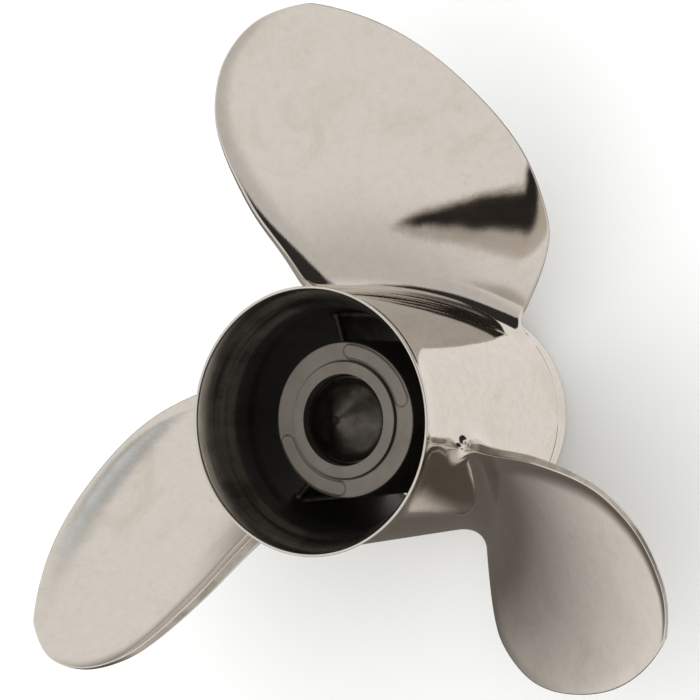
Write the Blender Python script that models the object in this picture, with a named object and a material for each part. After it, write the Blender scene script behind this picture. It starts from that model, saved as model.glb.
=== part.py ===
"""Three-blade stainless boat propeller with a hollow exhaust hub, in metres.

The shaft axis is Z and the aft end is up. The hub stands on its front spigot, whose face lies
in the plane z = 0, with the axis through the origin. Neighbours keep a gap of 0.3 mm.
"""

import math

import bmesh
import bpy
import numpy as np

GAP = 0.0003
BEVEL = 0.0008
TURN_STEPS = 72

HUB_LENGTH = 0.1535
SPIGOT_LENGTH = 0.0105
SPIGOT_RADIUS = 0.0525
SPIGOT_BORE = 0.0490
BARREL_FRONT_RADIUS = 0.0547
BARREL_AFT_RADIUS = 0.0560
BARREL_BORE = 0.0505
FLARE_LENGTH = 0.0200
FLARE_THROAT = 0.0525
FLARE_STEP = 0.0050
FLARE_POWER = 2.2
MOUTH_RADIUS = 0.0588
MOUTH_BORE = 0.0576

INNER_RADIUS = 0.0350
INNER_FRONT = 0.0080
INNER_AFT = HUB_LENGTH - 0.0320
BORE_RADIUS = 0.0204
BUSH_BORE = 0.0295
SHOULDER = 0.1040
LAND_RADIUS = 0.0260
LAND_HEIGHT = 0.0013

PLUG_EDGE = HUB_LENGTH - 0.0360
PLUG_HEIGHT = 0.0130
PLUG_TIP_RADIUS = 0.0030
SLEEVE_RADIUS = 0.0140
SPLINE_COUNT = 15
SPLINE_ROOT = 0.0112
SPLINE_CREST = 0.0100
SLEEVE_FRONT = 0.0120
BUSH_INSET = 0.0040

RIB_COUNT = 3
RIB_THICKNESS = 0.0034
RIB_ROUNDING = 0.0015
RIB_FRONT = 0.0200
RIB_AFT = 0.1055
RIB_AZIMUTH = 107.0

BLADE_COUNT = 3
BLADE_AZIMUTH = 86.6
BLADE_PLANE = 0.0796
PITCH = 0.565
RAKE_START = 0.0600
RAKE_SLOPE = 0.482
RAKE_BEND = -0.30
FACE_HOLLOW = 0.42
FACE_TWIST = -0.14
TIP_RADIUS = 0.1836
ROOT_THICKNESS = 0.0100
TIP_THICKNESS = 0.0030
LEAD_EDGE_THICKNESS = 0.0014
TRAIL_ROOT_THICKNESS = 0.0052
TRAIL_TIP_THICKNESS = 0.0026
CUP_WIDTH = 0.0100
CUP_HEIGHT = 0.0024
FULL_CHORD = 0.0600
FILLET = 0.0100
END_FILLET = 0.40
BLADE_ROWS = 16
CHORD_STEPS = 14
CAP_STEPS = 6

# Distance ahead of the blade's reference line, and radius, along each edge from root to tip
LEADING_EDGE = ((0.0345, 0.0550), (0.0462, 0.0710), (0.0618, 0.0985), (0.0662, 0.1160),
                (0.0603, 0.1380), (0.0409, 0.1577), (0.0151, 0.1740), (-0.0165, TIP_RADIUS))
TRAILING_EDGE = ((-0.0220, 0.0550), (-0.0255, 0.0620), (-0.0334, 0.0790), (-0.0450, 0.1020),
                 (-0.0545, 0.1290), (-0.0563, 0.1470), (-0.0510, 0.1645), (-0.0374, 0.1778),
                 (-0.0165, TIP_RADIUS))


def clear_scene():
    for item in list(bpy.data.objects):
        bpy.data.objects.remove(item, do_unlink=True)


def metal(name, colour, roughness, metallic=1.0):
    material = bpy.data.materials.new(name)
    material.use_nodes = True
    shader = material.node_tree.nodes["Principled BSDF"]
    shader.inputs["Base Color"].default_value = (*colour, 1.0)
    shader.inputs["Roughness"].default_value = roughness
    shader.inputs["Metallic"].default_value = metallic
    material.diffuse_color = (*colour, 1.0)
    return material


def add_object(name, shape, material):
    """Turn a finished bmesh into a named object with smooth sides and sharp corners."""
    bmesh.ops.remove_doubles(shape, verts=shape.verts, dist=1e-6)
    bmesh.ops.recalc_face_normals(shape, faces=shape.faces)
    mesh = bpy.data.meshes.new(name)
    shape.to_mesh(mesh)
    shape.free()
    mesh.materials.append(material)
    mesh.shade_smooth()
    mesh.set_sharp_from_angle(angle=math.radians(35))
    item = bpy.data.objects.new(name, mesh)
    bpy.context.scene.collection.objects.link(item)
    return item


def turned(name, profile, material, closed=True, steps=TURN_STEPS):
    """Spin a profile of (radius, height) points about the shaft axis."""
    shape = bmesh.new()
    verts = [shape.verts.new((radius, 0.0, height)) for radius, height in profile]
    pairs = list(zip(verts, verts[1:]))
    if closed:
        pairs.append((verts[-1], verts[0]))
    edges = [shape.edges.new(pair) for pair in pairs]
    bmesh.ops.spin(shape, geom=verts + edges, cent=(0, 0, 0), axis=(0, 0, 1),
                   angle=math.tau, steps=steps, use_merge=True)
    return add_object(name, shape, material)


def arc(centre, radius, start, end, steps):
    """Points on a circular arc in the profile plane, with angles in degrees."""
    angles = np.radians(np.linspace(start, end, steps + 1))
    return [(centre[0] + radius * math.cos(a), centre[1] + radius * math.sin(a)) for a in angles]


def ease(start, end, steps):
    """Points of a flare that leaves start nearly straight and opens out towards end."""
    shares = np.linspace(0.0, 1.0, steps + 1)
    return [(start[0] + (end[0] - start[0]) * share ** FLARE_POWER,
             start[1] + (end[1] - start[1]) * share) for share in shares]


def barrel_radius(height):
    aft = HUB_LENGTH - FLARE_LENGTH
    share = (height - SPIGOT_LENGTH) / (aft - SPIGOT_LENGTH)
    return BARREL_FRONT_RADIUS + (BARREL_AFT_RADIUS - BARREL_FRONT_RADIUS) * share


def make_barrel(material):
    front = SPIGOT_LENGTH + GAP
    aft = HUB_LENGTH - FLARE_LENGTH - GAP
    profile = [(BARREL_BORE, front), (barrel_radius(front) - BEVEL, front),
               (barrel_radius(front), front + BEVEL), (barrel_radius(aft), aft),
               (BARREL_BORE, aft)]
    return turned("hub_barrel", profile, material)


def make_flare(material):
    """The diffuser ring: a short neck that opens to the rounded mouth."""
    foot = HUB_LENGTH - FLARE_LENGTH
    lip = (MOUTH_RADIUS - MOUTH_BORE) / 2
    lip_height = HUB_LENGTH - lip
    outside = ease((BARREL_AFT_RADIUS, foot), (MOUTH_RADIUS, lip_height), 7)
    inside = ease((FLARE_THROAT, foot + FLARE_STEP), (MOUTH_BORE, lip_height), 6)
    rim = arc((MOUTH_BORE + lip, lip_height), lip, 0, 180, 4)
    profile = [(BARREL_BORE, foot)] + outside[:-1] + rim + inside[-2::-1]
    return turned("flared_mouth", profile, material)


def make_spigot(material):
    profile = [(SPIGOT_BORE, 0.0), (SPIGOT_RADIUS - BEVEL, 0.0), (SPIGOT_RADIUS, BEVEL),
               (SPIGOT_RADIUS, SPIGOT_LENGTH), (SPIGOT_BORE, SPIGOT_LENGTH)]
    return turned("front_spigot", profile, material)


def make_inner_hub(material):
    profile = [(BUSH_BORE, INNER_FRONT), (INNER_RADIUS - BEVEL, INNER_FRONT),
               (INNER_RADIUS, INNER_FRONT + BEVEL), (INNER_RADIUS, INNER_AFT - BEVEL),
               (INNER_RADIUS - BEVEL, INNER_AFT), (BORE_RADIUS, INNER_AFT),
               (BORE_RADIUS, SHOULDER), (BUSH_BORE, SHOULDER)]
    return turned("inner_hub", profile, material)


def make_land(material):
    foot = INNER_AFT + GAP
    top = INNER_AFT + LAND_HEIGHT
    edge = LAND_HEIGHT / 4
    profile = [(BORE_RADIUS, foot), (LAND_RADIUS, foot), (LAND_RADIUS, top - edge),
               (LAND_RADIUS - edge, top), (BORE_RADIUS + edge, top), (BORE_RADIUS, top - edge)]
    return turned("bore_land", profile, material)


def make_plug(material):
    """A turned cone with a rounded tip that closes the aft end of the bore."""
    edge = BORE_RADIUS - GAP
    slope = math.atan2(PLUG_HEIGHT, edge)
    apex = PLUG_EDGE + PLUG_HEIGHT
    centre = apex - PLUG_TIP_RADIUS / math.cos(slope)
    tip = arc((0.0, centre), PLUG_TIP_RADIUS, 90 - math.degrees(slope), 90, 4)
    profile = [(0.0, SHOULDER + GAP), (edge, SHOULDER + GAP), (edge, PLUG_EDGE)] + tip
    profile[-1] = (0.0, tip[-1][1])
    return turned("cone_plug", profile, material, closed=False)


def make_bush(material):
    inside = SLEEVE_RADIUS + GAP
    outside = BUSH_BORE - GAP
    front = SLEEVE_FRONT + BUSH_INSET
    aft = SHOULDER - BUSH_INSET
    profile = [(inside, front), (outside, front), (outside, aft), (inside, aft)]
    return turned("rubber_bush", profile, material)


def make_sleeve(material):
    """Tube with straight splines in its bore, which the engine's shaft drives."""
    shape = bmesh.new()
    steps = SPLINE_COUNT * 4
    angles = np.arange(steps) * math.tau / steps
    inner = [SPLINE_ROOT if step % 4 in (1, 2) else SPLINE_CREST for step in range(steps)]
    rings = []
    for height in (SLEEVE_FRONT, SHOULDER):
        for radii in (inner, [SLEEVE_RADIUS] * steps):
            corners = zip(radii * np.cos(angles), radii * np.sin(angles))
            rings.append([shape.verts.new((x, y, height)) for x, y in corners])
    low_in, low_out, high_in, high_out = rings
    for first, second in ((low_in, high_in), (high_out, low_out), (high_in, high_out),
                          (low_out, low_in)):
        for step in range(steps):
            after = (step + 1) % steps
            shape.faces.new((first[step], first[after], second[after], second[step]))
    return add_object("drive_sleeve", shape, material)


def make_rib(index, material):
    """A radial web that carries the inner hub inside the barrel."""
    inside = INNER_RADIUS + GAP
    outside = BARREL_BORE - 2 * GAP
    shape = bmesh.new()
    bmesh.ops.create_cube(shape, size=1.0)
    size = (outside - inside, RIB_THICKNESS, RIB_AFT - RIB_FRONT)
    bmesh.ops.scale(shape, vec=size, verts=shape.verts)
    ends = [edge for edge in shape.edges if abs(edge.verts[0].co.z - edge.verts[1].co.z) < 1e-6
            and abs(edge.verts[0].co.x - edge.verts[1].co.x) > 1e-6]
    bmesh.ops.bevel(shape, geom=ends, offset=RIB_ROUNDING, segments=3, affect="EDGES", profile=0.5)
    bmesh.ops.translate(shape, vec=((inside + outside) / 2, 0, (RIB_FRONT + RIB_AFT) / 2),
                        verts=shape.verts)
    item = add_object(f"rib_{index + 1}", shape, material)
    item.rotation_euler.z = math.radians(RIB_AZIMUTH + index * 360 / RIB_COUNT)
    return item


def edge_curve(points, steps=12):
    """Catmull-Rom curve through the points, carried a little past the tip by its mirror."""
    points = np.array(points)
    before = 2 * points[0] - points[1]
    after = points[-1] + (points[-1] - points[-2]) * (1.0, 0.0)
    knots = np.vstack([before, points, after])
    share = np.linspace(0.0, 1.0, steps, endpoint=False)[:, None]
    parts = []
    for a, b, c, d in zip(knots, knots[1:], knots[2:], knots[3:]):
        parts.append(0.5 * (2 * b + (c - a) * share + (2 * a - 5 * b + 4 * c - d) * share ** 2
                            + (3 * b - a - 3 * c + d) * share ** 3))
    return np.vstack(parts + [points[-1:]])


def edge_at(points, radius):
    curve = edge_curve(points)
    return np.interp(radius, curve[:, 1], curve[:, 0])


def blade_rows():
    """Section radii, close together in the root fillet and again towards the round tip."""
    root = BARREL_FRONT_RADIUS
    low = root + FILLET * np.array([0.0, 0.12, 0.35, 0.8])
    turn = np.linspace(0.12, 1.0, BLADE_ROWS) * math.pi / 2
    high = root + (TIP_RADIUS - 0.0001 - root) * np.sin(turn)
    return np.concatenate([low, high])


def face_height(ahead, radius):
    """Height of the driving face: a screw of constant pitch, raked aft and slightly hollow."""
    out = radius - RAKE_START
    screw = -PITCH / math.tau * ahead / radius
    bend = RAKE_SLOPE * out + RAKE_BEND * out ** 2
    return BLADE_PLANE + screw + bend + FACE_HOLLOW * ahead ** 2 + FACE_TWIST * ahead * out


def section_thickness(share, chord, radius):
    """Thickness across a section, from the leading edge at 0 to the trailing edge at 1."""
    span = (radius - BARREL_FRONT_RADIUS) / (TIP_RADIUS - BARREL_FRONT_RADIUS)
    middle = ROOT_THICKNESS + (TIP_THICKNESS - ROOT_THICKNESS) * span
    trail = TRAIL_ROOT_THICKNESS + (TRAIL_TIP_THICKNESS - TRAIL_ROOT_THICKNESS) * span
    edge = LEAD_EDGE_THICKNESS + (trail - LEAD_EDGE_THICKNESS) * share
    swell = (4 * share * (1 - share)) ** 0.7
    return edge + (middle - edge) * swell * min(1.0, chord / FULL_CHORD)


def section_sides(radius, azimuth):
    """Driving side and back side of one section, as rows of angle, radius and height."""
    lead = float(edge_at(LEADING_EDGE, radius))
    trail = float(edge_at(TRAILING_EDGE, radius))
    chord = lead - trail
    share = (1 - np.cos(np.linspace(0.0, math.pi, CHORD_STEPS + 1))) / 2
    ahead = lead - chord * share
    height = face_height(ahead, radius)
    climb = max(0.0, 1 - (radius - BARREL_FRONT_RADIUS) / FILLET)
    reach = END_FILLET + (1 - END_FILLET) * np.sin(math.pi * share)
    flare = FILLET * (1 - math.sqrt(1 - climb ** 2)) * reach
    to_trail = np.clip(1 - (ahead - trail) / CUP_WIDTH, 0.0, 1.0)
    cup = CUP_HEIGHT * to_trail ** 2 * min(1.0, chord / FULL_CHORD)
    thickness = section_thickness(share, chord, radius)
    slope = math.atan2(PITCH / math.tau, radius)
    sides = []
    for lift in (cup + flare, cup - thickness - flare):
        angle = azimuth - (ahead + lift * math.sin(slope)) / radius
        level = height + lift * math.cos(slope)
        seat = barrel_radius(level) + GAP - BARREL_FRONT_RADIUS
        sides.append(np.stack([angle, radius + seat * climb, level], 1))
    return sides


def to_points(rows):
    angle, radius, height = rows.T
    return np.stack([radius * np.cos(angle), radius * np.sin(angle), height], 1)


def root_cap(sides):
    """Rows between the two sides of the root section that follow the barrel's round surface."""
    face, back = sides
    caps = []
    for share in np.arange(1, CAP_STEPS) / CAP_STEPS:
        row = face + (back - face) * share
        row[:, 1] = barrel_radius(row[:, 2]) + GAP
        caps.append(to_points(row))
    return caps


def strip(shape, first, second):
    for step in range(len(first) - 1):
        shape.faces.new((first[step], first[step + 1], second[step + 1], second[step]))


def make_blade(index, material):
    azimuth = math.radians(BLADE_AZIMUTH + index * 360 / BLADE_COUNT)
    shape = bmesh.new()
    sections = [section_sides(radius, azimuth) for radius in blade_rows()]
    rows = []
    for sides in sections:
        rows.append([[shape.verts.new(point) for point in to_points(side)] for side in sides])
    cap = [[shape.verts.new(point) for point in row] for row in root_cap(sections[0])]
    across = [rows[0][0]] + cap + [rows[0][1]]
    for low, high in zip(rows, rows[1:]):
        strip(shape, low[0], high[0])
        strip(shape, high[1], low[1])
    for end in (0, -1):
        shape.faces.new([row[end] for row in across] + [rows[1][1][end], rows[1][0][end]])
        for low, high in zip(rows[1:], rows[2:]):
            shape.faces.new((low[0][end], high[0][end], high[1][end], low[1][end]))
    for first, second in zip(across, across[1:]):
        strip(shape, first, second)
    strip(shape, rows[-1][0], rows[-1][1])
    return add_object(f"blade_{index + 1}", shape, material)


def build():
    clear_scene()
    polished = metal("polished_steel", (0.62, 0.60, 0.57), 0.18)
    cast = metal("cast_steel", (0.42, 0.40, 0.37), 0.45)
    dark = metal("turned_steel", (0.16, 0.15, 0.14), 0.30)
    rubber = metal("rubber", (0.03, 0.03, 0.03), 0.70, metallic=0.0)
    bronze = metal("bronze", (0.55, 0.38, 0.20), 0.35)
    make_barrel(polished)
    make_flare(polished)
    make_spigot(polished)
    make_inner_hub(cast)
    make_land(cast)
    make_plug(dark)
    make_bush(rubber)
    make_sleeve(bronze)
    for index in range(RIB_COUNT):
        make_rib(index, cast)
    for index in range(BLADE_COUNT):
        make_blade(index, polished)


build()
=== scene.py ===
"""Looks of a polished stainless boat propeller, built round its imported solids.

The shaft axis is Z with the aft end up. The hub shell, inner hub, webs, plug and blades are
worked out as fine surfaces that stand for the plain solids. Lengths are in metres.
"""

import math

import bmesh
import bpy
import numpy as np
from mathutils import Matrix, Vector


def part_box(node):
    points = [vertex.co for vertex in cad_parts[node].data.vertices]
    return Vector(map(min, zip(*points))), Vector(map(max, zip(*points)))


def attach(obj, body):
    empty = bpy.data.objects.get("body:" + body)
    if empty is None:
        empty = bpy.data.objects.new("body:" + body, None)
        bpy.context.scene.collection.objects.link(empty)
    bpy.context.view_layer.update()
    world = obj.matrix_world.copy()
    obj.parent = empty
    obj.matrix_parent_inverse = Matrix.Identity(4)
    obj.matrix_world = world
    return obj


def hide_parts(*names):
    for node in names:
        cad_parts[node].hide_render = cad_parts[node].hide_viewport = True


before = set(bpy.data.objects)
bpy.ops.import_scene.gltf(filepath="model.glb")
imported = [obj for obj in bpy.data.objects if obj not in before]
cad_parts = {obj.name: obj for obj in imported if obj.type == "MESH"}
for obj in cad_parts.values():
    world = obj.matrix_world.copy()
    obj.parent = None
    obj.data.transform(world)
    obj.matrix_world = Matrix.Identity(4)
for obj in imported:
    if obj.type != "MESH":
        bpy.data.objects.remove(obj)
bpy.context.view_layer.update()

TAU = math.tau
TURN_STEPS = 256
GAP = 0.0003

# Sizes that the frame gives
SPIGOT_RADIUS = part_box("front_spigot")[1][0]
SPIGOT_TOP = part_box("front_spigot")[1][2]
BARREL_AFT_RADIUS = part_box("hub_barrel")[1][0]
FLARE_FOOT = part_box("flared_mouth")[0][2]
MOUTH_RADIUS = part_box("flared_mouth")[1][0]
HUB_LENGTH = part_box("flared_mouth")[1][2]
INNER_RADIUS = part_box("inner_hub")[1][0]
INNER_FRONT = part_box("inner_hub")[0][2]
INNER_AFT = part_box("inner_hub")[1][2]
LAND_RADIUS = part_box("bore_land")[1][0]
LAND_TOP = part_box("bore_land")[1][2]
PLUG_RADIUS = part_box("cone_plug")[1][0]
PLUG_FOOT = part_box("cone_plug")[0][2]
PLUG_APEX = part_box("cone_plug")[1][2]
BUSH_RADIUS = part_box("rubber_bush")[1][0]
BUSH_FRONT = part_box("rubber_bush")[0][2]
BUSH_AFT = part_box("rubber_bush")[1][2]
SLEEVE_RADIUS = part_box("drive_sleeve")[1][0]
SLEEVE_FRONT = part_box("drive_sleeve")[0][2]
SLEEVE_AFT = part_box("drive_sleeve")[1][2]

# The hub's other sizes
BARREL_FRONT_RADIUS = 0.0547
LINE_HEIGHT = 0.0034
BARREL_BORE = 0.0505
CAST_BORE = 0.0501
CAST_STEP_DEPTH = 0.0330
SPIGOT_BORE = 0.0490
FLARE_THROAT = 0.0525
FLARE_STEP = 0.0050
FLARE_POWER = 2.2
THROAT_POWER = 1.5
MOUTH_BORE = 0.0576
BORE_RADIUS = 0.0204
BUSH_BORE = 0.0295
SHOULDER = 0.1040
CARTOUCHES = ((12, 90), (194, 272))
CARTOUCHE_HALF_WIDTH = 0.0031
CARTOUCHE_LINE = 0.00055
CARTOUCHE_HEIGHT = 0.0004
PLUG_HEIGHT = 0.0130
PLUG_TIP_RADIUS = 0.0030
DIMPLE_RADIUS = 0.0011
DIMPLE_DEPTH = 0.0008
SPLINE_COUNT = 15
SPLINE_ROOT = 0.0112
SPLINE_CREST = 0.0100
SPLINE_SQUARENESS = 2.6
RIB_COUNT = 3
RIB_THICKNESS = 0.0034
RIB_FRONT = 0.0200
RIB_AFT = 0.1055
RIB_AZIMUTH = 107.0
RIB_FILLET = 0.0025

# The blades' sizes
BLADE_COUNT = 3
BLADE_AZIMUTH = 86.6
BLADE_PLANE = 0.0796
PITCH = 0.565
RAKE_START = 0.0600
RAKE_SLOPE = 0.482
RAKE_BEND = -0.30
FACE_HOLLOW = 0.42
FACE_TWIST = -0.14
TIP_RADIUS = 0.1836
ROOT_THICKNESS = 0.0100
TIP_THICKNESS = 0.0030
LEAD_EDGE_THICKNESS = 0.0014
TRAIL_ROOT_THICKNESS = 0.0052
TRAIL_TIP_THICKNESS = 0.0026
CUP_WIDTH = 0.0100
CUP_HEIGHT = 0.0024
FULL_CHORD = 0.0600
FACE_FILLET = 0.0130
BACK_FILLET = 0.0080
END_FILLET = 0.0060
CORNER = 0.0006
ROOT_ROWS = 24
CHORD_STEPS = 120
EDGE_STEPS = 8
ROLL_WIDTH = 0.0080
ROLL_HEIGHT = 0.0006
LEADING_EDGE = ((0.0345, 0.0550), (0.0462, 0.0710), (0.0618, 0.0985), (0.0662, 0.1160),
                (0.0603, 0.1380), (0.0409, 0.1577), (0.0151, 0.1740), (-0.0165, TIP_RADIUS))
TRAILING_EDGE = ((-0.0220, 0.0550), (-0.0255, 0.0620), (-0.0334, 0.0790), (-0.0450, 0.1020),
                 (-0.0545, 0.1290), (-0.0563, 0.1470), (-0.0510, 0.1645), (-0.0374, 0.1778),
                 (-0.0165, TIP_RADIUS))

# The camera: real distance and angles, and where it sees the middle of the mouth
PHOTO_SIDE = 700
SENSOR = 36.0
MOUTH_PIXEL = (307.2, 421.4)
FOCAL_PIXELS = 2396.6
MOUTH_DISTANCE = 1.0393
AXIS_TILT = 29.82
AXIS_ROLL = -0.62


class Value:
    """A shader socket that adds the node for an operator when it is used in an expression."""

    def __init__(self, tree, socket):
        self.tree = tree
        self.socket = socket

    def math(self, operation, *others):
        node = self.tree.nodes.new("ShaderNodeMath")
        node.operation = operation
        for slot, item in zip(node.inputs, (self, *others)):
            plug(self.tree, slot, item)
        return Value(self.tree, node.outputs[0])

    def __add__(self, other):
        return self.math("ADD", other)

    def __mul__(self, other):
        return self.math("MULTIPLY", other)

    def __sub__(self, other):
        return self.math("SUBTRACT", other)

    def __rsub__(self, other):
        return (self * -1.0) + other

    def __truediv__(self, other):
        return self.math("DIVIDE", other)

    def __pow__(self, other):
        return self.math("POWER", other)

    __radd__ = __add__
    __rmul__ = __mul__

    def clamp(self, low=0.0, high=1.0):
        return self.math("MAXIMUM", low).math("MINIMUM", high)

    def step(self, low, high):
        """Smooth step from 0 at low to 1 at high."""
        share = ((self - low) / (high - low)).clamp()
        return share * share * (3.0 - share * 2.0)


def plug(tree, slot, item):
    """Link a socket, or set its value: a colour without its fourth number gets 1."""
    if isinstance(item, Value):
        tree.links.new(item.socket, slot)
    elif item is not None:
        slot.default_value = (*item, 1.0) if slot.type == "RGBA" else item


class Recipe:
    """The node tree of one material or of the world, with short calls for its nodes."""

    def __init__(self, owner):
        owner.use_nodes = True
        self.tree = owner.node_tree
        self.tree.nodes.clear()

    def node(self, kind, settings=None, sockets=None, output=0):
        """Add a node: its settings come first, then the values or links of its sockets."""
        made = self.tree.nodes.new(kind)
        for key, value in (settings or {}).items():
            setattr(made, key, value)
        for key, value in (sockets or {}).items():
            plug(self.tree, made.inputs[key], value)
        return Value(self.tree, made.outputs[output] if made.outputs else None)

    def place(self, scale=(1.0, 1.0, 1.0), turn=(0.0, 0.0, 0.0)):
        """Object coordinates in metres, stretched by scale after a turn."""
        spot = self.node("ShaderNodeTexCoord", output="Object")
        return self.node("ShaderNodeMapping", {"vector_type": "POINT"},
                         {"Vector": spot, "Scale": scale, "Rotation": turn})

    def noise(self, spot, scale, detail=4.0, roughness=0.55, distortion=0.0):
        return self.node("ShaderNodeTexNoise", sockets={
            "Vector": spot, "Scale": scale, "Detail": detail, "Roughness": roughness,
            "Distortion": distortion})

    def blend(self, factor, first, second):
        """Colour mix: sockets 6 and 7 are its two colours, and output 2 the result."""
        return self.node("ShaderNodeMix", {"data_type": "RGBA"},
                         {0: factor, 6: first, 7: second}, 2)

    def axes(self, vector):
        """The three parts of a vector, as values."""
        x = self.node("ShaderNodeSeparateXYZ", sockets={"Vector": vector})
        return [Value(self.tree, out) for out in x.socket.node.outputs]

    def dot(self, vector, other):
        return self.node("ShaderNodeVectorMath", {"operation": "DOT_PRODUCT"},
                         {0: vector, 1: other}, "Value")

    def bump(self, height, distance, strength=1.0, normal=None):
        return self.node("ShaderNodeBump", sockets={
            "Height": height, "Distance": distance, "Strength": strength, "Normal": normal})

    def finish(self, colour, roughness, metallic=1.0, normal=None):
        shader = self.node("ShaderNodeBsdfPrincipled", sockets={
            "Base Color": colour, "Roughness": roughness, "Metallic": metallic, "Normal": normal})
        self.node("ShaderNodeOutputMaterial", sockets={"Surface": shader})


def new_material(name):
    """An empty material and the recipe that fills it."""
    material = bpy.data.materials.new(name)
    return material, Recipe(material)


def polished_steel(name, wear):
    """Hand polished casting: smudges, brown stains, pits and, with wear, scratches that cross."""
    material, mix = new_material(name)
    spot = mix.place()
    stains = mix.noise(spot, 34.0, 6.0, 0.66, 0.8).step(0.48, 0.74)
    smudges = mix.noise(spot, 85.0, 5.0, 0.64, 0.4).step(0.34, 0.74)
    mottle = mix.noise(spot, 240.0, 4.0, 0.62)
    pits = mix.noise(spot, 800.0, 3.0, 0.6).step(0.63, 0.76)
    blotches = mix.noise(spot, 120.0, 6.0, 0.7, 0.5).step(0.60, 0.74)
    scratch = mix.noise(mix.place((1.0, 14.0, 2.0), (0.3, 0.2, 0.5)), 260.0, 3.0, 0.6)
    cross = mix.noise(mix.place((12.0, 1.0, 3.0), (0.6, 0.4, -0.3)), 240.0, 3.0, 0.6)
    colour = mix.blend(stains * 0.55, (0.685, 0.645, 0.595), (0.575, 0.515, 0.445))
    colour = mix.blend(mottle.step(0.35, 0.70) * (0.15 + wear * 0.5), colour, (0.56, 0.52, 0.47))
    colour = mix.blend(blotches * 0.30, colour, (0.46, 0.40, 0.32))
    colour = mix.blend(pits * 0.30, colour, (0.33, 0.29, 0.25))
    lines = scratch.step(0.62, 0.72) + cross.step(0.62, 0.72)
    colour = mix.blend(lines * wear, colour, (0.44, 0.41, 0.38))
    roughness = 0.03 + smudges * 0.045 + mottle * 0.02 + lines * 0.05 + stains * 0.035
    waves = mix.noise(spot, 26.0, 2.0, 0.45)
    normal = mix.bump(waves, 0.00022)
    normal = mix.bump(scratch + cross, 0.000007, normal=normal)
    normal = mix.bump(mottle, 0.000012, normal=normal)
    mix.finish(colour, roughness.clamp(0.04, 0.5), normal=normal)
    return material


def ground_steel():
    """Trailing edge left as ground: duller, with coarse grinding lines and brown stains."""
    material, mix = new_material("ground_steel")
    spot = mix.place()
    lines = mix.noise(mix.place((1.0, 1.0, 9.0), (0.2, 0.1, 0.0)), 420.0, 4.0, 0.65)
    stains = mix.noise(spot, 110.0, 5.0, 0.6)
    colour = mix.blend(stains.step(0.35, 0.70), (0.50, 0.465, 0.415), (0.34, 0.305, 0.26))
    colour = mix.blend(lines.step(0.45, 0.70) * 0.4, colour, (0.62, 0.585, 0.54))
    normal = mix.bump(lines, 0.00006)
    mix.finish(colour, (0.24 + lines * 0.14).clamp(0.2, 0.5), normal=normal)
    return material


def cast_steel():
    """Satin blasted face of the inner hub: even fine grain and faint cloudy stains."""
    material, mix = new_material("cast_steel")
    spot = mix.place()
    cloud = mix.noise(spot, 70.0, 4.0, 0.6)
    grain = mix.noise(spot, 1900.0, 3.0, 0.65)
    colour = mix.blend(cloud.step(0.3, 0.7), (0.180, 0.166, 0.145), (0.225, 0.207, 0.182))
    colour = mix.blend((grain - 0.35) * 0.5, colour, (0.30, 0.28, 0.25))
    normal = mix.bump(grain, 0.00006)
    mix.finish(colour, (0.42 + grain * 0.12).clamp(0.3, 0.7), normal=normal)
    return material


def turned_steel():
    """Turned cone with fine concentric tool marks; its near-black colour is painted shade of the
    deep bore, with a faint mottle and a rusty centre.
    """
    material, mix = new_material("turned_steel")
    spot = mix.place()
    x, y = mix.axes(spot)[:2]
    radius = (x * x + y * y) ** 0.5
    rings = (radius * 15000.0).math("SINE")
    coarse = mix.node("ShaderNodeTexNoise", {"noise_dimensions": "1D"},
                      {"W": radius, "Scale": 2600.0, "Detail": 3.0})
    film = mix.noise(spot, 160.0, 4.0, 0.6)
    middle = 1.0 - radius.step(0.0014, 0.0026)
    # Painted shade: both tones are near black, for the cone that sits deep in the bore.
    colour = mix.blend(film.step(0.3, 0.7), (0.050, 0.045, 0.039), (0.090, 0.082, 0.072))
    colour = mix.blend(middle * 0.9, colour, (0.030, 0.010, 0.008))
    normal = mix.bump(rings * 0.5 + coarse * 2.0, 0.000008)
    mix.finish(colour, 0.16 + film * 0.08 + middle * 0.3, normal=normal)
    return material


def bore_steel():
    """Inside of the barrel: bright at the lip, then turned rings that darken with depth, painted
    shade of the deep bore over a dark exhaust film.
    """
    material, mix = new_material("bore_steel")
    spot = mix.place()
    z = mix.axes(spot)[2]
    film = mix.noise(mix.place((1.0, 1.0, 0.2)), 90.0, 5.0, 0.6)
    ring = mix.noise(mix.place((0.06, 0.06, 1.0)), 420.0, 3.0, 0.6)
    # Painted shade with exhaust soot: the colour steps darker with depth, from bare steel at the
    # lip through the throat to near black further in.
    bright_lip = (z + film * 0.002 - 0.001).step(HUB_LENGTH - 0.0090, HUB_LENGTH - 0.0010)
    throat = z.step(HUB_LENGTH - 0.024, HUB_LENGTH - 0.018)
    soot_and_shade = mix.blend(film.step(0.3, 0.7), (0.050, 0.048, 0.044), (0.085, 0.080, 0.072))
    flare = mix.blend((film * 0.5 + ring * 0.5).step(0.38, 0.62), (0.15, 0.145, 0.13),
                      (0.32, 0.305, 0.275))
    colour = mix.blend(throat, soot_and_shade, flare)
    colour = mix.blend(bright_lip, colour, (0.64, 0.61, 0.57))
    normal = mix.bump(film, 0.00008)
    normal = mix.bump(ring, 0.00004, normal=normal)
    roughness = 0.50 - throat * 0.26 - bright_lip * 0.12 + film * 0.08
    mix.finish(colour, roughness.clamp(0.08, 0.6), normal=normal)
    return material


def soot_and_shade_cast():
    """Webs between the walls: cast steel under exhaust soot and painted shade of the deep annulus,
    near black, brown where the soot has worn thin.
    """
    material, mix = new_material("soot_and_shade_cast")
    spot = mix.place()
    worn = mix.noise(spot, 120.0, 5.0, 0.6)
    # Near-black colour: painted shade of the webs deep between the walls, together with soot.
    colour = mix.blend(worn.step(0.45, 0.75), (0.055, 0.048, 0.041), (0.170, 0.130, 0.098))
    mix.finish(colour, 0.45 + worn * 0.15, normal=mix.bump(worn, 0.0001))
    return material


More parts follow.
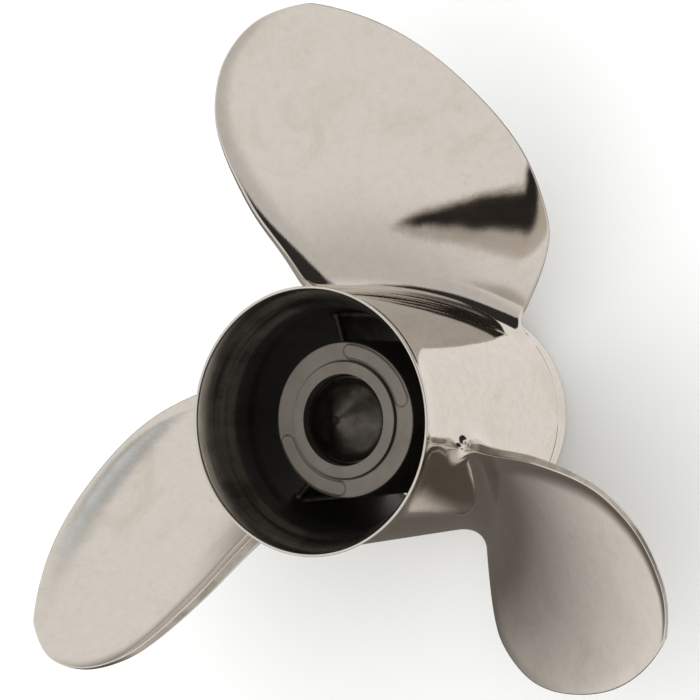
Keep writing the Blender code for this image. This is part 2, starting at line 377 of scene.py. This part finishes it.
def black_rubber():
    """Dull bonded rubber with a fine grain."""
    material, mix = new_material("rubber")
    grain = mix.noise(mix.place(), 900.0, 3.0, 0.6)
    colour = mix.blend(grain, (0.018, 0.018, 0.018), (0.045, 0.043, 0.040))
    mix.finish(colour, 0.55 + grain * 0.25, metallic=0.0, normal=mix.bump(grain, 0.00008))
    return material


def bronze():
    """Cast and broached bronze in slightly changing tones."""
    material, mix = new_material("bronze")
    spot = mix.place()
    tone = mix.noise(spot, 120.0, 4.0, 0.6)
    colour = mix.blend(tone, (0.48, 0.32, 0.15), (0.62, 0.44, 0.24))
    mix.finish(colour, 0.28 + tone * 0.15, normal=mix.bump(tone, 0.00005))
    return material


def quads(rows, columns, wrap_rows=False, wrap_columns=False):
    """Corner numbers of the faces of a grid of rows by columns points."""
    row = np.arange(rows if wrap_rows else rows - 1)
    column = np.arange(columns if wrap_columns else columns - 1)
    low, left = np.meshgrid(row, column, indexing="ij")
    high = (low + 1) % rows
    right = (left + 1) % columns
    corners = (low * columns + left, low * columns + right, high * columns + right,
               high * columns + left)
    return np.stack([corner.ravel() for corner in corners], 1)


def build_piece(name, points, faces, material, slot, *nodes, sharp=50.0, other=None, spots=None):
    """Make the mesh from points and four-cornered faces, weld it and hand it to the frame.

    Faces whose mark in spots is 1 take the other material.
    """
    mesh = bpy.data.meshes.new(name)
    mesh.vertices.add(len(points))
    mesh.vertices.foreach_set("co", points.astype(np.float32).ravel())
    mesh.loops.add(faces.size)
    mesh.loops.foreach_set("vertex_index", faces.astype(np.int32).ravel())
    mesh.polygons.add(len(faces))
    mesh.polygons.foreach_set("loop_start", np.arange(len(faces), dtype=np.int32) * 4)
    if other:
        mesh.polygons.foreach_set("material_index", spots.astype(np.int32))
    mesh.update(calc_edges=True)
    weld = bmesh.new()
    weld.from_mesh(mesh)
    bmesh.ops.remove_doubles(weld, verts=weld.verts, dist=1e-7)
    bmesh.ops.recalc_face_normals(weld, faces=weld.faces)
    weld.to_mesh(mesh)
    weld.free()
    mesh.materials.append(material)
    if other:
        mesh.materials.append(other)
    mesh.shade_smooth()
    mesh.set_sharp_from_angle(angle=math.radians(sharp))
    piece = bpy.data.objects.new(name, mesh)
    bpy.context.scene.collection.objects.link(piece)
    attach(piece, "root")
    if nodes:
        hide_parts(*nodes)
    return piece


def revolve(profile, steps=TURN_STEPS):
    """Profile points (radius, height) carried round Z: x = r cos t, y = r sin t."""
    angle = np.arange(steps) * TAU / steps
    radius = profile[:, 0][:, None]
    height = np.repeat(profile[:, 1][:, None], steps, 1)
    return np.stack([radius * np.cos(angle), radius * np.sin(angle), height], 2)


def turned_piece(name, profile, material, slot, *nodes, closed=True, steps=TURN_STEPS):
    """A profile turned about the shaft axis and made a piece."""
    points = revolve(profile, steps)
    faces = quads(len(profile), steps, wrap_rows=closed, wrap_columns=True)
    return build_piece(name, points.reshape(-1, 3), faces, material, slot, *nodes)


def round_corners(corners, steps=6):
    """A profile through corners (radius, height, rounding), each corner an arc of that rounding."""
    corners = np.array(corners, dtype=float)
    here = corners[:, :2]
    before = np.roll(here, 1, 0) - here
    after = np.roll(here, -1, 0) - here
    before /= np.linalg.norm(before, axis=1)[:, None]
    after /= np.linalg.norm(after, axis=1)[:, None]
    half = np.arccos(np.clip((before * after).sum(1), -0.9999, 0.9999)) / 2
    reach = (corners[:, 2] / np.tan(half))[:, None]
    start = here + before * reach
    end = here + after * reach
    share = np.linspace(0.0, 1.0, steps + 1)[None, :, None]
    curve = ((1 - share) ** 2 * start[:, None] + 2 * share * (1 - share) * here[:, None]
             + share ** 2 * end[:, None])
    return curve.reshape(-1, 2)


def spread(start, end, steps):
    """Points that cut the way from start to end into equal steps, without its ends."""
    share = np.linspace(0.0, 1.0, steps + 1)[1:-1, None]
    return np.array(start) + (np.array(end) - np.array(start)) * share


def flare(start, end, power, steps):
    """Radius grows with a power of the share of the height climbed."""
    share = np.linspace(0.0, 1.0, steps + 1)
    radius = start[0] + (end[0] - start[0]) * share ** power
    return np.stack([radius, start[1] + (end[1] - start[1]) * share], 1)


def arc(centre, radius, start, end, steps):
    """Points on a circular arc in the profile plane, with angles in degrees."""
    angle = np.radians(np.linspace(start, end, steps + 1))
    return np.stack([centre[0] + radius * np.cos(angle), centre[1] + radius * np.sin(angle)], 1)


def barrel_radius(height):
    """Straight taper from the barrel's front radius to its aft radius."""
    share = (height - SPIGOT_TOP) / (FLARE_FOOT - SPIGOT_TOP)
    return BARREL_FRONT_RADIUS + (BARREL_AFT_RADIUS - BARREL_FRONT_RADIUS) * np.clip(share, 0, 1)


def hub_outside():
    """Spigot, rounded step, tapered barrel and flare, from the front edge to the lip."""
    lip = (MOUTH_RADIUS - MOUTH_BORE) / 2
    edge = 0.0006
    groove = 0.0008
    spigot = arc((SPIGOT_RADIUS - edge, edge), edge, -90, 0, 6)
    step = np.array([(SPIGOT_RADIUS, SPIGOT_TOP - 2.2 * groove),
                     (SPIGOT_RADIUS - 0.3 * groove, SPIGOT_TOP - 1.8 * groove),
                     (SPIGOT_RADIUS - 1.4 * groove, SPIGOT_TOP - 1.5 * groove),
                     (SPIGOT_RADIUS - 1.4 * groove, SPIGOT_TOP)])
    corner = arc((BARREL_FRONT_RADIUS - edge, SPIGOT_TOP + edge), edge, -90, 0, 6)
    cut = SPIGOT_TOP + LINE_HEIGHT + np.array([-0.0006, -0.0003, 0.0003, 0.0006])
    line = np.stack([barrel_radius(cut) - (0.0, 0.0006, 0.0006, 0.0), cut], 1)
    side = np.linspace(cut[-1] + edge, FLARE_FOOT - edge, 40)
    barrel = np.vstack([line, np.stack([barrel_radius(side), side], 1)])
    mouth = flare((BARREL_AFT_RADIUS, FLARE_FOOT), (MOUTH_RADIUS, HUB_LENGTH - lip),
                  FLARE_POWER, 30)
    rim = arc((MOUTH_RADIUS - lip, HUB_LENGTH - lip), lip, 0, 180, 14)
    return np.vstack([spigot, step, corner, barrel, mouth[:-1], rim[:8]]), rim[8:]


def hub_inside(rim):
    """From the lip down the flared throat, over the chamfer and along the bore to the front."""
    lip = (MOUTH_RADIUS - MOUTH_BORE) / 2
    throat = flare((FLARE_THROAT, FLARE_FOOT + FLARE_STEP), (MOUTH_BORE, HUB_LENGTH - lip),
                   THROAT_POWER, 24)[-2::-1]
    step = HUB_LENGTH - CAST_STEP_DEPTH
    edge = 0.0005
    chamfer = np.array([(FLARE_THROAT - edge, FLARE_FOOT + FLARE_STEP - 2 * edge),
                        (BARREL_BORE + edge, FLARE_FOOT + edge), (BARREL_BORE, FLARE_FOOT - edge)])
    turned = spread((BARREL_BORE, FLARE_FOOT - edge), (BARREL_BORE, step + edge), 6)
    cast = np.array([(BARREL_BORE, step + edge), (CAST_BORE, step - 4 * edge)])
    wall = spread((CAST_BORE, step - 4 * edge), (CAST_BORE, SPIGOT_TOP + 4 * edge), 24)
    foot = np.array([(CAST_BORE, SPIGOT_TOP + 4 * edge), (SPIGOT_BORE, SPIGOT_TOP),
                     (SPIGOT_BORE, edge), (SPIGOT_BORE + edge, 0.0)])
    return np.vstack([rim, throat, chamfer, turned, cast, wall, foot])


def face_vectors(mesh, field):
    """One vector for each face of a mesh: its center or its normal."""
    values = np.empty(len(mesh.polygons) * 3)
    mesh.polygons.foreach_get(field, values)
    return values.reshape(-1, 3)


def make_hub_shell(scratched, bore):
    """One closed shell for spigot, barrel and mouth: its bore takes the darker material."""
    outside, rim = hub_outside()
    inside = hub_inside(rim)
    profile = np.vstack([outside, inside])
    shell = turned_piece("hub_shell", profile, scratched, "polished_steel",
                         "hub_barrel", "flared_mouth", "front_spigot")
    shell.data.materials.append(bore)
    centres = face_vectors(shell.data, "center")
    normals = face_vectors(shell.data, "normal")
    inward = (normals[:, :2] * centres[:, :2]).sum(1) < 0
    dark = inward & (centres[:, 2] > SPIGOT_TOP)
    shell.data.polygons.foreach_set("material_index", dark.astype(np.int32))


def smooth_peak(distance, width):
    """Rounded ridge: 1 on the line, 0 from width away, with a cosine between."""
    return 0.5 + 0.5 * np.cos(math.pi * np.clip(np.abs(distance) / width, 0, 1))


def cartouche(angle, radius, start, end):
    """Raised outline of a bare curved cartouche: its distance field is that of a bent capsule."""
    middle = math.radians((start + end) / 2)
    line = (INNER_RADIUS + LAND_RADIUS) / 2
    half_length = line * math.radians(end - start) / 2 - CARTOUCHE_HALF_WIDTH
    along = line * ((angle - middle + math.pi) % TAU - math.pi)
    across = radius - line
    reach = np.hypot(np.maximum(np.abs(along) - half_length, 0), across)
    return smooth_peak(reach - CARTOUCHE_HALF_WIDTH, CARTOUCHE_LINE)


def make_inner_hub(cast):
    """Thick tube whose aft face carries two raised cartouches, left bare."""
    edge = 0.0009
    steps = 720
    face = spread((LAND_RADIUS + 0.0006, INNER_AFT), (INNER_RADIUS - edge, INNER_AFT), 44)
    outer = arc((INNER_RADIUS - edge, INNER_AFT - edge), edge, 90, 0, 6)
    lower = arc((INNER_RADIUS - edge, INNER_FRONT + edge), edge, 0, -90, 6)
    inner = np.array([(BUSH_BORE, INNER_FRONT), (BUSH_BORE, SHOULDER), (BORE_RADIUS, SHOULDER),
                      (BORE_RADIUS, INNER_AFT)])
    groove = np.array([(LAND_RADIUS - 0.0002, INNER_AFT - 0.0004),
                       (LAND_RADIUS + 0.0004, INNER_AFT - 0.0004)])
    profile = np.vstack([inner, groove, face, outer, lower])
    points = revolve(profile, steps)
    angle = np.arctan2(points[..., 1], points[..., 0])
    radius = np.hypot(points[..., 0], points[..., 1])
    raised = np.maximum(*(cartouche(angle, radius, *ends) for ends in CARTOUCHES))
    on_face = (np.abs(points[..., 2] - INNER_AFT) < 1e-6) & (radius > LAND_RADIUS + 0.0005)
    points[..., 2] += np.where(on_face, CARTOUCHE_HEIGHT * raised, 0.0)
    faces = quads(len(profile), steps, wrap_rows=True, wrap_columns=True)
    build_piece("inner_hub_casting", points.reshape(-1, 3), faces, cast, "cast_steel",
                "inner_hub")


def make_land(cast):
    """Low machined ring round the aft bore, with softened corners."""
    corners = [(BORE_RADIUS, INNER_AFT + 0.0001, 0.0001), (LAND_RADIUS, INNER_AFT + 0.0001, 0.0001),
               (LAND_RADIUS, LAND_TOP, 0.0003), (BORE_RADIUS, LAND_TOP, 0.0005)]
    turned_piece("machined_land", round_corners(corners), cast, "cast_steel", "bore_land")


def make_plug(turned):
    """Cone with a rounded tip, a drilled centre and a narrow flat at its edge."""
    edge_height = PLUG_APEX - PLUG_HEIGHT
    slope = math.atan2(PLUG_HEIGHT, PLUG_RADIUS)
    centre = PLUG_APEX - PLUG_TIP_RADIUS / math.cos(slope)
    tip = arc((0.0, centre), PLUG_TIP_RADIUS, 90 - math.degrees(slope), 90, 10)
    rim = 0.0012
    start = (PLUG_RADIUS - rim, edge_height + rim * math.tan(slope))
    cone = spread(start, tip[0], 60)
    corner = 0.0002
    body = np.array([(0.0, PLUG_FOOT), (PLUG_RADIUS, PLUG_FOOT),
                     (PLUG_RADIUS, edge_height - corner), (PLUG_RADIUS - corner, edge_height),
                     (PLUG_RADIUS - rim, edge_height), start])
    profile = np.vstack([body, cone, tip])
    profile[-1, 0] = 0.0
    near = profile[:, 0] < DIMPLE_RADIUS
    near[0] = False
    profile[near, 1] -= DIMPLE_DEPTH * (1 - (profile[near, 0] / DIMPLE_RADIUS) ** 2)
    turned_piece("turned_cone", profile, turned, "turned_steel", "cone_plug", closed=False)


def make_bush(rubber):
    """Rubber ring between the sleeve and the inner hub, with rounded ends."""
    inside = SLEEVE_RADIUS + GAP
    corners = [(inside, BUSH_FRONT, 0.001), (BUSH_RADIUS, BUSH_FRONT, 0.0015),
               (BUSH_RADIUS, BUSH_AFT, 0.0015), (inside, BUSH_AFT, 0.001)]
    turned_piece("bonded_rubber", round_corners(corners), rubber, "rubber", "rubber_bush",
                 steps=128)


def make_sleeve(metal):
    """Splined tube: the bore radius swings between root and crest with a flattened cosine."""
    steps = SPLINE_COUNT * 24
    edge = 0.0006
    angle = np.arange(steps) * TAU / steps
    wave = np.tanh(SPLINE_SQUARENESS * np.cos(SPLINE_COUNT * angle))
    wave /= math.tanh(SPLINE_SQUARENESS)
    bore = (SPLINE_ROOT + SPLINE_CREST) / 2 + wave * (SPLINE_ROOT - SPLINE_CREST) / 2
    outer = np.full(steps, SLEEVE_RADIUS)
    rings = [(bore + edge, SLEEVE_FRONT), (outer - edge, SLEEVE_FRONT),
             (outer, SLEEVE_FRONT + edge), (outer, SLEEVE_AFT - edge),
             (outer - edge, SLEEVE_AFT), (bore + edge, SLEEVE_AFT),
             (bore, SLEEVE_AFT - edge), (bore, SLEEVE_FRONT + edge)]
    points = np.stack([np.stack([radius * np.cos(angle), radius * np.sin(angle),
                                 np.full(steps, height)], 1) for radius, height in rings])
    faces = quads(len(rings), steps, wrap_rows=True, wrap_columns=True)
    build_piece("splined_sleeve", points.reshape(-1, 3), faces, metal, "bronze",
                "drive_sleeve", sharp=35.0)


def rib_section(height_steps, round_steps):
    """Outline of a web in the plane across its radius: straight sides with half-round ends."""
    half = RIB_THICKNESS / 2
    aft = arc((0.0, RIB_AFT - half), half, 0, 180, round_steps)
    front = arc((0.0, RIB_FRONT + half), half, 180, 360, round_steps)
    return np.vstack([aft, spread(aft[-1], front[0], height_steps), front,
                      spread(front[-1], aft[0], height_steps)])


def make_rib(index, soot_and_shade_webs):
    """The web's outline carried along its radius, swelling into a fillet at both walls."""
    outline = rib_section(24, 10)
    middle = np.array([0.0, (RIB_AFT + RIB_FRONT) / 2])
    inner = INNER_RADIUS - GAP
    outer = CAST_BORE + GAP
    share = (1 - np.cos(np.linspace(0, math.pi, 25))) / 2
    reach = inner + (outer - inner) * share
    wall = np.minimum(reach - inner, outer - reach)
    climb = np.clip(1 - wall / RIB_FILLET, 0, 1)
    swell = RIB_FILLET * (1 - np.sqrt(1 - climb ** 2))
    away = outline - middle
    half = RIB_THICKNESS / 2
    core = np.stack([np.zeros(len(away)), np.sign(away[:, 1]) * np.minimum(
        np.abs(away[:, 1]), (RIB_AFT - RIB_FRONT) / 2 - half)], 1)
    direction = (away - core) / half
    section = middle + away + direction * swell[:, None, None]
    side, height = section[..., 0], section[..., 1]
    turn = math.radians(RIB_AZIMUTH + index * 360 / RIB_COUNT)
    x = reach[:, None] * math.cos(turn) - side * math.sin(turn)
    y = reach[:, None] * math.sin(turn) + side * math.cos(turn)
    points = np.stack([x, y, height], 2)
    caps = [points[end].mean(0, keepdims=True) for end in (0, -1)]
    ends = [np.repeat(cap, len(outline), 0)[None] for cap in caps]
    points = np.vstack([ends[0], points, ends[1]])
    faces = quads(len(points), len(outline), wrap_columns=True)
    build_piece(f"cast_web_{index + 1}", points.reshape(-1, 3), faces, soot_and_shade_webs, "cast_steel",
                f"rib_{index + 1}")


def edge_curve(points, steps=40):
    """Catmull-Rom curve through an edge's stations, levelled off at the tip."""
    points = np.array(points)
    before = 2 * points[0] - points[1]
    after = points[-1] + (points[-1] - points[-2]) * (1.0, 0.0)
    knots = np.vstack([before, points, after])
    share = np.linspace(0.0, 1.0, steps, endpoint=False)[:, None]
    a, b, c, d = (knots[start:len(knots) - 3 + start, None] for start in range(4))
    curve = 0.5 * (2 * b + (c - a) * share + (2 * a - 5 * b + 4 * c - d) * share ** 2
                   + (3 * b - a - 3 * c + d) * share ** 3)
    return np.vstack([curve.reshape(-1, 2), points[-1:]])


def fillet_rise(radius, size):
    """Quarter-round fillet: how far the surface stands out at a radius near the barrel."""
    climb = np.clip(1 - (radius - BARREL_FRONT_RADIUS) / size, 0, 1)
    return size * (1 - np.sqrt(np.maximum(1 - climb ** 2, 0)))


def edge_at(points, radius):
    """How far ahead an edge lies at each radius."""
    curve = edge_curve(points)
    return np.interp(radius, curve[:, 1], curve[:, 0])


def face_height(ahead, radius):
    """Driving face: a screw of constant pitch, raked aft, slightly hollow and twisted."""
    out = radius - RAKE_START
    screw = -PITCH / TAU * ahead / radius
    bend = RAKE_SLOPE * out + RAKE_BEND * out ** 2
    return BLADE_PLANE + screw + bend + FACE_HOLLOW * ahead ** 2 + FACE_TWIST * ahead * out


def section_thickness(share, chord, radius):
    """Thickness across a section, from the leading edge at 0 to the trailing edge at 1."""
    span = (radius - BARREL_FRONT_RADIUS) / (TIP_RADIUS - BARREL_FRONT_RADIUS)
    middle = ROOT_THICKNESS + (TIP_THICKNESS - ROOT_THICKNESS) * span
    trail = TRAIL_ROOT_THICKNESS + (TRAIL_TIP_THICKNESS - TRAIL_ROOT_THICKNESS) * span
    edge = LEAD_EDGE_THICKNESS + (trail - LEAD_EDGE_THICKNESS) * share
    swell = (4 * share * (1 - share)) ** 0.7
    return edge + (middle - edge) * swell * np.minimum(1.0, chord / FULL_CHORD)


def outline_distance(ahead, radius):
    """Distance from each point of the developed blade to its drawn outline."""
    level = np.linspace(BARREL_FRONT_RADIUS - 0.01, TIP_RADIUS, 240)
    lead = np.stack([edge_at(LEADING_EDGE, level), level], 1)
    trail = np.stack([edge_at(TRAILING_EDGE, level), level], 1)
    line = np.vstack([lead, trail[::-1]])
    best = np.full(ahead.shape, 1.0)
    for start, end in zip(line[:-1], line[1:]):
        step = end - start
        share = (ahead - start[0]) * step[0] + (radius - start[1]) * step[1]
        share = np.clip(share / max(step @ step, 1e-12), 0, 1)
        gap = np.hypot(ahead - start[0] - share * step[0], radius - start[1] - share * step[1])
        best = np.minimum(best, gap)
    return best


def blade_rows(rows):
    """Section radii: close together in the root fillet and, by a sine, towards the round tip."""
    root = BARREL_FRONT_RADIUS
    low = root + FACE_FILLET * np.linspace(0, 1, ROOT_ROWS, endpoint=False) ** 2
    start = math.asin(FACE_FILLET / (TIP_RADIUS - root))
    turn = np.linspace(start, math.pi / 2, rows)
    high = root + (TIP_RADIUS - 0.0001 - root) * np.sin(turn)
    return np.concatenate([low, high])[:, None]


def section_loops(radius, chord_steps, edge_steps):
    """Closed sections: driving face, square trailing edge, back and round leading edge.

    A corner of radius c at distance d from the outline drops by c - sqrt(c^2 - (c - d)^2). The
    driving face also rolls off towards the rim, by a square of the distance that is left.
    """
    lead, trail = edge_at(LEADING_EDGE, radius), edge_at(TRAILING_EDGE, radius)
    chord = lead - trail
    share = ((1 - np.cos(np.linspace(0.0, math.pi, chord_steps + 1))) / 2)[None, :]
    ahead = lead - chord * share
    inward = outline_distance(ahead, np.broadcast_to(radius, ahead.shape))
    thick = section_thickness(share, chord, radius)
    seated = np.clip(1 - (radius - BARREL_FRONT_RADIUS) / FACE_FILLET, 0, 1)
    trail_corner = CORNER + (0.45 * thick - CORNER) * seated
    corner = np.where(share < 0.5, 0.45 * thick, trail_corner)
    near = corner - np.minimum(inward, corner)
    drop = corner - np.sqrt(np.maximum(corner ** 2 - near ** 2, 0))
    roll = ROLL_HEIGHT * np.clip(1 - inward / ROLL_WIDTH, 0, 1) ** 2 * (1 - share)
    full = np.minimum(1.0, chord / FULL_CHORD)
    cup = CUP_HEIGHT * np.clip(1 - (ahead - trail) / CUP_WIDTH, 0, 1) ** 2 * full
    face = cup - drop - roll * full
    back = cup - thick + drop
    across = np.linspace(0, 1, edge_steps + 1)[None, 1:-1]
    trail_lift = face[:, -1:] + (back[:, -1:] - face[:, -1:]) * across
    lead_lift = back[:, :1] + (face[:, :1] - back[:, :1]) * across
    ones = np.ones_like(across)
    spot = np.hstack([ahead, ahead[:, -1:] * ones, ahead[:, ::-1], ahead[:, :1] * ones])
    return spot, np.hstack([face, trail_lift, back[:, ::-1], lead_lift])


def spread_fillet(radius, spot, lift):
    """Move each loop outwards, square to itself, by the fillet's rise at that radius."""
    along = np.roll(spot, -1, 1) - np.roll(spot, 1, 1)
    up = np.roll(lift, -1, 1) - np.roll(lift, 1, 1)
    length = np.maximum(np.hypot(along, up), 1e-9)
    out_along, out_up = up / length, -along / length
    side = np.where(out_up > 0, FACE_FILLET, BACK_FILLET)
    size = END_FILLET + (side - END_FILLET) * out_up ** 2
    rise = fillet_rise(radius, size)
    return spot + out_along * rise, lift + out_up * rise


def blade_points(azimuth):
    """Filleted sections stacked up the blade and laid on their cylinders."""
    radius = blade_rows(130)
    spot, lift = section_loops(radius, CHORD_STEPS, EDGE_STEPS)
    spot, lift = spread_fillet(radius, spot, lift)
    return place_sections(azimuth, radius, spot, lift)


def place_sections(azimuth, radius, ahead, lift):
    """Lay each section on its cylinder: lift is measured square to the pitch line there."""
    slope = np.arctan2(PITCH / TAU, radius)
    angle = azimuth - (ahead + lift * np.sin(slope)) / radius
    height = face_height(ahead, radius) + lift * np.cos(slope)
    seated = np.clip(1 - (radius - BARREL_FRONT_RADIUS) / FACE_FILLET, 0, 1)
    out = radius + (barrel_radius(height) - BARREL_FRONT_RADIUS) * seated
    return np.stack([out * np.cos(angle), out * np.sin(angle), height], 2)


def make_blade(index, polished, ground):
    """One blade as a closed loft: its square trailing edge takes the ground finish."""
    azimuth = math.radians(BLADE_AZIMUTH + index * 360 / BLADE_COUNT)
    points = blade_points(azimuth)
    skirt = points[:1].copy()
    sunk = 1 - 0.0005 / np.hypot(skirt[..., 0], skirt[..., 1])
    skirt[..., :2] *= sunk[..., None]
    rows = np.vstack([skirt, points])
    around = rows.shape[1]
    faces = quads(len(rows), around, wrap_columns=True)
    half = np.arange(around // 2 - 1)
    cap = np.stack([half, half + 1, around - 2 - half, around - 1 - half], 1)
    caps = [base + cap for base in (0, (len(rows) - 1) * around)]
    column = np.arange(len(faces)) % around
    trailing = (column >= CHORD_STEPS) & (column < CHORD_STEPS + EDGE_STEPS)
    trailing &= np.arange(len(faces)) >= around * (ROOT_ROWS - 6)
    spots = np.concatenate([trailing, np.zeros(len(cap) * 2, bool)])
    faces = np.vstack([faces] + caps)
    build_piece(f"polished_blade_{index + 1}", rows.reshape(-1, 3), faces, polished,
                "polished_steel", f"blade_{index + 1}", other=ground, spots=spots)


def make_floor():
    """Plain pale floor, far wider than the view."""
    half = 3.0
    mesh = bpy.data.meshes.new("floor")
    low = -0.0002
    corners = [(-half, -half, low), (half, -half, low), (half, half, low), (-half, half, low)]
    mesh.from_pydata(corners, [], [(0, 1, 2, 3)])
    material, mix = new_material("pale_floor")
    mix.finish((0.90, 0.90, 0.90), 0.9, metallic=0.0)
    mesh.materials.append(material)
    floor = bpy.data.objects.new("floor", mesh)
    bpy.context.scene.collection.objects.link(floor)
    floor.visible_glossy = False


def aim(azimuth, elevation):
    """Unit vector from its compass angle about the shaft and its height, both in degrees."""
    turn, lift = math.radians(azimuth), math.radians(elevation)
    return (math.cos(turn) * math.cos(lift), math.sin(turn) * math.cos(lift), math.sin(lift))


def panel(mix, spot, azimuth, elevation, wide, tall, soft):
    """Oval panel on the world: 1 inside, 0 outside, wide and tall in degrees from its middle."""
    middle, side, up = aim(azimuth, elevation), aim(azimuth + 90, 0), aim(azimuth, elevation + 90)
    across = mix.dot(spot, side) / math.sin(math.radians(wide))
    along = mix.dot(spot, up) / math.sin(math.radians(tall))
    reach = (across * across + along * along) ** 0.5
    return (1.0 - reach.step(1 - soft, 1 + soft)) * mix.dot(spot, middle).step(-0.1, 0.1)


def make_studio():
    """White tent over a table that darkens to the left, with soft oval panels.

    A panel has its compass angle, height, half width and half height in degrees, the softness of
    its rim, its strength and its tone.
    """
    world = bpy.data.worlds.new("studio")
    bpy.context.scene.world = world
    mix = Recipe(world)
    spot = mix.node("ShaderNodeTexCoord", output="Generated")
    height = mix.dot(spot, (0, 0, 1))
    tent, table = (0.94, 0.915, 0.885), (0.97, 0.94, 0.90)
    shade, black = (0.14, 0.125, 0.11), (0.035, 0.032, 0.03)
    window, frame_grey = (0.76, 0.81, 0.85), (0.46, 0.47, 0.46)
    colour = mix.blend(mix.dot(spot, aim(25, 0)).step(-0.35, 0.10), shade, table)
    colour = mix.blend(height.step(-0.55, 0.02), colour, tent)
    panels = [
        (-116, -19, 25, 18, 0.4, 1.0, shade),
        (-15, 2, 48, 22, 0.5, 0.34, shade),
        (14, -17, 38, 19, 0.10, 1.0, black),
        (-172, -14, 15, 12, 0.6, 0.35, shade),
        (98, 33, 18, 4.2, 0.25, 1.0, window),
        (100, 29.6, 16, 1.4, 0.8, 0.8, frame_grey),
        (50, 38, 24, 18, 0.4, 0.85, shade),
    ]
    for azimuth, elevation, wide, tall, soft, strength, tone in panels:
        mask = panel(mix, spot, azimuth, elevation, wide, tall, soft) * strength
        colour = mix.blend(mask, colour, tone)
    light = mix.node("ShaderNodeBackground", sockets={"Color": colour, "Strength": 1.0})
    mix.node("ShaderNodeOutputWorld", sockets={"Surface": light})


def make_sky_light():
    """Very soft light from straight above for the floor: the steel mirrors only the tent."""
    light = bpy.data.lights.new("sky_light", "SUN")
    light.energy = 1.45
    light.angle = math.radians(100)
    light.color = (0.88, 0.97, 1.0)
    lamp = bpy.data.objects.new("sky_light", light)
    lamp.rotation_euler = (math.radians(-12), math.radians(-8), 0)
    lamp.visible_glossy = False
    bpy.context.scene.collection.objects.link(lamp)


def make_camera():
    """Camera from its distance, tilt and roll about the shaft, and the mouth's place in view."""
    tilt = math.radians(AXIS_TILT)
    roll = math.radians(AXIS_ROLL)
    lean = -math.sin(tilt)
    axis = Vector((lean * math.cos(roll), lean * math.sin(roll), math.cos(tilt)))
    up = Vector((0, 1, 0))
    up = (up - axis * axis.dot(up)).normalized()
    right = up.cross(axis)
    middle = PHOTO_SIDE / 2
    across = (MOUTH_PIXEL[0] - middle) / FOCAL_PIXELS
    rise = (middle - MOUTH_PIXEL[1]) / FOCAL_PIXELS
    mouth = Vector((across, rise, -1.0)) * MOUTH_DISTANCE
    turn = Matrix((right, up, axis))
    place = turn @ -mouth + Vector((0, 0, HUB_LENGTH))
    camera = bpy.data.objects.new("camera", bpy.data.cameras.new("camera"))
    camera.data.sensor_width = SENSOR
    camera.data.lens = FOCAL_PIXELS / PHOTO_SIDE * SENSOR
    camera.matrix_world = Matrix.Translation(place) @ turn.to_4x4()
    bpy.context.scene.collection.objects.link(camera)
    bpy.context.scene.camera = camera


def main():
    polished = polished_steel("polished_steel", 0.16)
    scratched = polished_steel("scratched_steel", 0.45)
    cast = cast_steel()
    soot_and_shade_webs = soot_and_shade_cast()
    ground = ground_steel()
    make_hub_shell(scratched, bore_steel())
    make_inner_hub(cast)
    make_land(cast)
    make_plug(turned_steel())
    make_bush(black_rubber())
    make_sleeve(bronze())
    for index in range(RIB_COUNT):
        make_rib(index, soot_and_shade_webs)
    for index in range(BLADE_COUNT):
        make_blade(index, polished, ground)
    make_floor()
    make_studio()
    make_sky_light()
    make_camera()
    bpy.context.scene.view_settings.view_transform = "Standard"


main()
